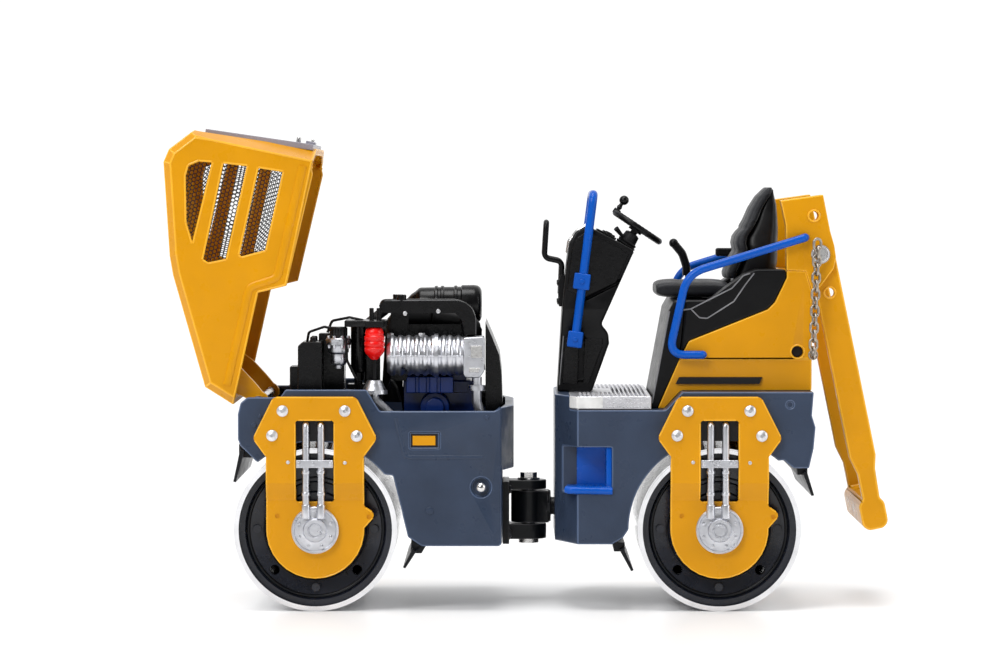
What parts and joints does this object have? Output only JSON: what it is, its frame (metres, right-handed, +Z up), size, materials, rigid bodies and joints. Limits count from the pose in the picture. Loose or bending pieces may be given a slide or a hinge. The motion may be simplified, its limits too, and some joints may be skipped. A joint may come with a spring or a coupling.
{
  "type": "toy road roller",
  "caption": "Scale model of an articulated tandem road roller with a tipping engine hood, a folding roll bar, smooth steel drums and an open operator's platform.",
  "frame": {"origin": "on the floor, midway between the front and rear ends of the bounding box and midway across; the steering pin is at X 0", "axes": "+X to the rear of the machine, +Y to the operator's right, +Z up; the machine drives towards -X"},
  "size_m": [0.1603, 0.0632, 0.1063],
  "materials": {
    "yellow_paint": "gloss enamel on die-cast metal",
    "slate_paint": "satin enamel on die-cast metal",
    "blue_paint": "gloss enamel",
    "engine_blue": "semi-gloss moulded",
    "black_plastic": "fine moulded texture",
    "black_gloss": "semi-gloss moulded",
    "black_metal": "semi-gloss black",
    "black_mesh": "perforated sheet",
    "grey_panel": "satin grey",
    "dark_grey": "satin",
    "drum_chrome": "polished plating",
    "cast_silver": "cast, bright paint",
    "bright_steel": "bright",
    "tread_plate": "pressed tread plate",
    "seat_vinyl": "padded vinyl",
    "red_plastic": "gloss"
  },
  "bodies": {
    "rear_frame": {"rear_chassis": "slate_paint", "rear_plate_left": "yellow_paint", "rear_plate_right": "yellow_paint", "rear_plate_bolts": "bright_steel", "rear_hub_motors": "cast_silver", "rear_pipes": "cast_silver", "rear_scrapers": "black_metal", "floor_plate": "tread_plate", "side_steps": "blue_paint", "console": "black_plastic", "dash_panel": "black_gloss", "console_guard": "blue_paint", "front_handle": "dark_grey", "steering_column": "black_plastic", "seat_panel": "black_plastic", "seat_pedestal": "black_plastic", "seat_cushion": "seat_vinyl", "seat_back": "seat_vinyl", "armrest": "black_plastic", "lever_gate": "black_plastic", "rear_body": "yellow_paint", "side_rails": "blue_paint", "rops_posts": "yellow_paint", "rops_pins": "bright_steel", "rops_chains": "bright_steel"},
    "knuckle": {"knuckle": "black_metal"},
    "front_frame": {"front_chassis": "slate_paint", "front_plate_left": "yellow_paint", "front_plate_right": "yellow_paint", "front_plate_bolts": "bright_steel", "front_hub_motors": "cast_silver", "front_pipes": "cast_silver", "front_scrapers": "black_metal", "steering_fork": "black_metal", "steering_pin": "bright_steel", "hood_hinge_pin": "bright_steel", "tie_down_balls": "bright_steel", "engine_block": "engine_blue", "battery": "black_gloss", "fuel_filter": "cast_silver", "primer_bulb": "red_plastic", "filter_bracket": "black_gloss", "muffler": "cast_silver", "engine_pipes": "cast_silver", "intake_duct": "black_gloss", "air_filter": "black_gloss", "fan_shroud": "black_gloss"},
    "front_drum": {"front_drum_shell": "drum_chrome", "front_drum_discs": "black_metal"},
    "rear_drum": {"rear_drum_shell": "drum_chrome", "rear_drum_discs": "black_metal"},
    "hood": {"hood_shell": "yellow_paint", "hood_grilles": "black_mesh", "hood_rear_panel": "grey_panel", "hood_arms": "yellow_paint"},
    "rops_hoop": {"rops_hoop": "yellow_paint"},
    "steering_wheel": {"steering_wheel": "black_plastic"},
    "spinner_knob": {"spinner_knob": "black_gloss"},
    "travel_lever": {"travel_lever": "black_plastic"}
  },
  "joints": [
    {"name": "oscillation", "type": "hinge", "parent": "rear_frame", "child": "knuckle", "pos_m": [0.005, 0, 0.0212], "axis": [1, 0, 0], "range_deg": [-6, 6]},
    {"name": "steering", "type": "hinge", "parent": "knuckle", "child": "front_frame", "pos_m": [0, 0, 0.0212], "axis": [0, 0, 1], "range_deg": [-25, 25]},
    {"name": "front_drum_roll", "type": "hinge", "parent": "front_frame", "child": "front_drum", "pos_m": [-0.0471, 0, 0.018], "axis": [0, 1, 0], "continuous": true},
    {"name": "rear_drum_roll", "type": "hinge", "parent": "rear_frame", "child": "rear_drum", "pos_m": [0.0419, 0, 0.018], "axis": [0, 1, 0], "continuous": true},
    {"name": "hood_tip", "type": "hinge", "parent": "front_frame", "child": "hood", "pos_m": [-0.0598, 0, 0.0461], "axis": [0, 1, 0], "range_deg": [0, 78]},
    {"name": "roll_bar_fold", "type": "hinge", "parent": "rear_frame", "child": "rops_hoop", "pos_m": [0.0648, 0, 0.0786], "axis": [0, -1, 0], "range_deg": [0, 180]},
    {"name": "wheel_turn", "type": "hinge", "parent": "rear_frame", "child": "steering_wheel", "pos_m": [0.0246, 0, 0.0844], "axis": [0.5534, 0, 0.8329], "continuous": true},
    {"name": "knob_turn", "type": "hinge", "parent": "steering_wheel", "child": "spinner_knob", "pos_m": [0.01973, 0, 0.08764], "axis": [0.5534, 0, 0.8329], "continuous": true},
    {"name": "travel_lever_swing", "type": "hinge", "parent": "rear_frame", "child": "travel_lever", "pos_m": [0.0364, 0.015, 0.0702], "axis": [0, 1, 0], "range_deg": [-15, 15]}
  ]
}
